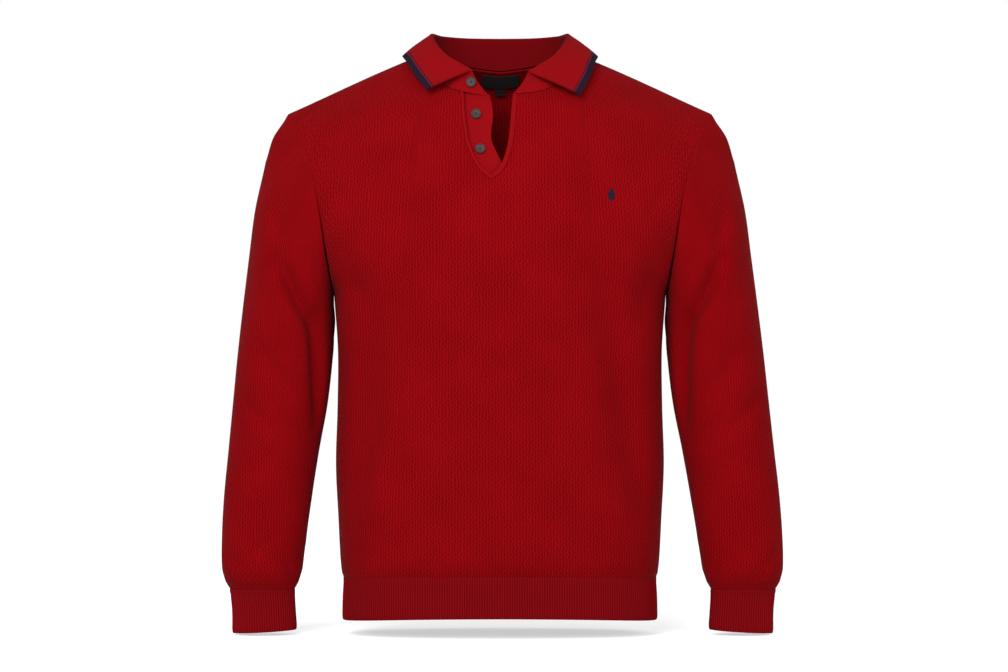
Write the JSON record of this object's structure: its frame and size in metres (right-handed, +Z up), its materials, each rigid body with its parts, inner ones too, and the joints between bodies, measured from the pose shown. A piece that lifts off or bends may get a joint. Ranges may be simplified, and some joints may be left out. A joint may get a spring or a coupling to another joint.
{
  "type": "henley sweater",
  "caption": "Filled-out long-sleeved knitted henley sweater with a folded collar, a buttoned V opening below the neck, and a ribbed hem and cuffs.",
  "frame": {"origin": "middle of the neck, level with the inner ends of the shoulder seams, where a wearer's shoulders carry the garment", "axes": "+X towards the wearer's left sleeve, +Y towards the wearer's back, +Z up"},
  "size_m": [0.6821, 0.2411, 0.7311],
  "materials": {
    "knit": "textured cotton knit",
    "rib": "fine ribbed cotton knit",
    "collar_knit": "smooth close cotton knit",
    "button": "dark mottled horn-like plastic",
    "label": "plain black woven tape"
  },
  "bodies": {
    "root": {"front": "knit", "back": "knit", "sleeve_left": "knit", "sleeve_right": "knit", "cuff_left": "rib", "cuff_right": "rib", "hem_front": "rib", "hem_back": "rib", "collar": "collar_knit", "button_stand": "collar_knit", "opening_trim": "collar_knit", "button_1": "button", "button_2": "button", "button_3": "button", "neck_label": "label", "size_tab": "label"}
  },
  "joints": []
}
